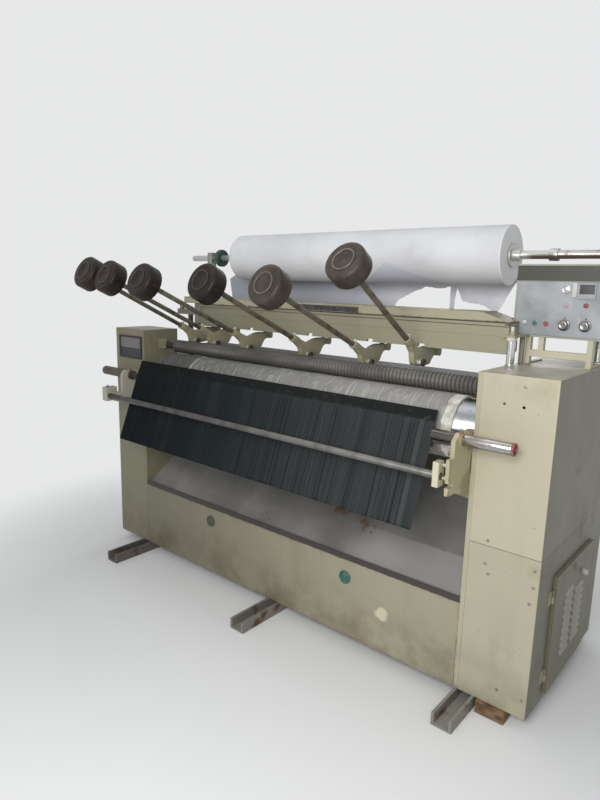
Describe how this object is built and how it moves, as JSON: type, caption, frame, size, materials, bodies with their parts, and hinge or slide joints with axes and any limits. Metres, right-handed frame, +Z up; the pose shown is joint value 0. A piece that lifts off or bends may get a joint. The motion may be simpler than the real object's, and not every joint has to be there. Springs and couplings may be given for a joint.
{
  "type": "pleating machine",
  "caption": "Free-standing cloth pleating machine with end housings, felt drum, grooved roller, weight levers on a beam, sloping chute, paper roll and control box.",
  "frame": {"origin": "on the floor under the middle skid, midway between the outer sides of the end housings and midway between their front and rear", "axes": "+X along the machine to its right as seen from the front, -Y towards the front, +Z up"},
  "size_m": [2.4845, 1.2653, 1.799],
  "materials": {
    "skid_steel": "worn",
    "packer_wood": "rough",
    "cream_paint": "satin",
    "frame_iron": "painted",
    "deck_paint": "worn",
    "plug_plastic": "matt",
    "black_plastic": "matt",
    "zinc": "worn",
    "drum_steel": "bright",
    "felt": "dusty",
    "bush_brass": "dull",
    "roller_steel": "oiled",
    "dark_iron": "bare",
    "chute_metal": "worn",
    "cloth": "pleated",
    "chrome": "worn",
    "rod_steel": "worn",
    "red_paint": "worn",
    "lever_paint": "painted",
    "paper": "matt",
    "wheel_paint": "painted",
    "case_paint": "satin",
    "face_metal": "satin",
    "knob_metal": "turned",
    "green_plastic": "gloss",
    "red_plastic": "gloss",
    "lamp_plastic": "gloss",
    "motor_paint": "painted"
  },
  "bodies": {
    "machine": {"beam": "cream_paint", "beam_columns": "chrome", "beam_cover": "cream_paint", "bracket_left": "lever_paint", "bracket_right": "lever_paint", "chute_plate": "chute_metal", "control_case": "case_paint", "control_face": "face_metal", "control_stand": "cream_paint", "deck": "deck_paint", "door_hinges": "zinc", "drive_motor": "motor_paint", "front_panel": "cream_paint", "front_rod": "rod_steel", "left_housing": "cream_paint", "lever_hangers": "dark_iron", "panel_lamps": "lamp_plastic", "panel_plugs": "plug_plastic", "panel_window": "black_plastic", "paper_web": "paper", "pleated_cloth": "cloth", "pressure_bar": "dark_iron", "rear_panel": "cream_paint", "right_cabinet": "cream_paint", "right_cover": "cream_paint", "rod_block_right": "lever_paint", "roll_posts": "rod_steel", "shaft_bearings": "bush_brass", "side_frame_left": "frame_iron", "side_frame_right": "frame_iron", "skids": "skid_steel", "wood_packer": "packer_wood"},
    "drum": {"drum": "drum_steel", "drum_blanket": "felt"},
    "roller": {"grooved_roller": "roller_steel"},
    "roll": {"roll_shaft": "chrome", "hand_wheel": "wheel_paint", "paper_roll": "paper"},
    "door": {"door": "cream_paint"},
    "door_knob": {"door_knob": "black_plastic"},
    "left_chuck": {"stub_left": "dark_iron"},
    "right_chuck": {"stub_right": "chrome", "stub_cap": "red_paint"},
    "clamp": {"clamp_handle": "chrome"},
    "left_knob": {"knob_left": "knob_metal"},
    "right_knob": {"knob_right": "knob_metal"},
    "start_button": {"green_button": "green_plastic"},
    "stop_button": {"red_button": "red_plastic"},
    "lever_1": {"lever_1": "lever_paint", "weight_1": "dark_iron"},
    "lever_2": {"lever_2": "lever_paint", "weight_2": "dark_iron"},
    "lever_3": {"lever_3": "lever_paint", "weight_3": "dark_iron"},
    "lever_4": {"lever_4": "lever_paint", "weight_4": "dark_iron"},
    "lever_5": {"lever_5": "lever_paint", "weight_5": "dark_iron"},
    "lever_6": {"lever_6": "lever_paint", "weight_6": "dark_iron"}
  },
  "joints": [
    {"name": "drum_spin", "type": "hinge", "parent": "machine", "child": "drum", "pos_m": [0, -0.268, 1.025], "axis": [1, 0, 0], "continuous": true},
    {"name": "roller_spin", "type": "hinge", "parent": "machine", "child": "roller", "pos_m": [0, -0.233, 1.18], "axis": [1, 0, 0], "continuous": true},
    {"name": "roll_spin", "type": "hinge", "parent": "machine", "child": "roll", "pos_m": [0, 0.183, 1.674], "axis": [1, 0, 0], "continuous": true},
    {"name": "lever_1_lift", "type": "hinge", "parent": "machine", "child": "lever_1", "pos_m": [0.582, 0, 1.263], "axis": [-1, 0, 0], "range_deg": [0, 5.8]},
    {"name": "lever_2_lift", "type": "hinge", "parent": "machine", "child": "lever_2", "pos_m": [0.33, 0, 1.263], "axis": [-1, 0, 0], "range_deg": [0, 15]},
    {"name": "lever_3_lift", "type": "hinge", "parent": "machine", "child": "lever_3", "pos_m": [-0.01, 0, 1.263], "axis": [-1, 0, 0], "range_deg": [0, 14.5]},
    {"name": "lever_4_lift", "type": "hinge", "parent": "machine", "child": "lever_4", "pos_m": [-0.402, 0, 1.263], "axis": [-1, 0, 0], "range_deg": [0, 14.7]},
    {"name": "lever_5_lift", "type": "hinge", "parent": "machine", "child": "lever_5", "pos_m": [-0.65, 0, 1.263], "axis": [-1, 0, 0], "range_deg": [0, 14]},
    {"name": "lever_6_lift", "type": "hinge", "parent": "machine", "child": "lever_6", "pos_m": [-0.808, 0, 1.263], "axis": [-1, 0, 0], "range_deg": [0, 13.2]},
    {"name": "door_swing", "type": "hinge", "parent": "machine", "child": "door", "pos_m": [1.231, -0.24, 0.31], "axis": [0, 0, -1], "range_deg": [0, 110]},
    {"name": "door_latch", "type": "hinge", "parent": "door", "child": "door_knob", "pos_m": [1.2395, 0.091, 0.447], "axis": [1, 0, 0], "range_deg": [0, 90]},
    {"name": "left_chuck_slide", "type": "slide", "parent": "machine", "child": "left_chuck", "axis": [1, 0, 0], "range_m": [0, 0.05]},
    {"name": "right_chuck_slide", "type": "slide", "parent": "machine", "child": "right_chuck", "axis": [1, 0, 0], "range_m": [-0.06, 0.09]},
    {"name": "clamp_turn", "type": "hinge", "parent": "machine", "child": "clamp", "pos_m": [-1.055, -0.046, 1.39], "axis": [0, 0, 1], "range_deg": [-60, 60]},
    {"name": "left_knob_turn", "type": "hinge", "parent": "machine", "child": "left_knob", "pos_m": [1.102, -0.02, 1.411], "axis": [0, -1, 0], "range_deg": [-150, 150]},
    {"name": "right_knob_turn", "type": "hinge", "parent": "machine", "child": "right_knob", "pos_m": [1.175, -0.02, 1.411], "axis": [0, -1, 0], "range_deg": [-150, 150]},
    {"name": "start_press", "type": "slide", "parent": "machine", "child": "start_button", "axis": [0, 1, 0], "range_m": [0, 0.003], "stiffness_N_per_m": 400},
    {"name": "stop_press", "type": "slide", "parent": "machine", "child": "stop_button", "axis": [0, 1, 0], "range_m": [0, 0.003], "stiffness_N_per_m": 400}
  ],
  "couplings": [
    {"joint": "roller_spin", "follows": "drum_spin", "ratio": -3.5838}
  ]
}
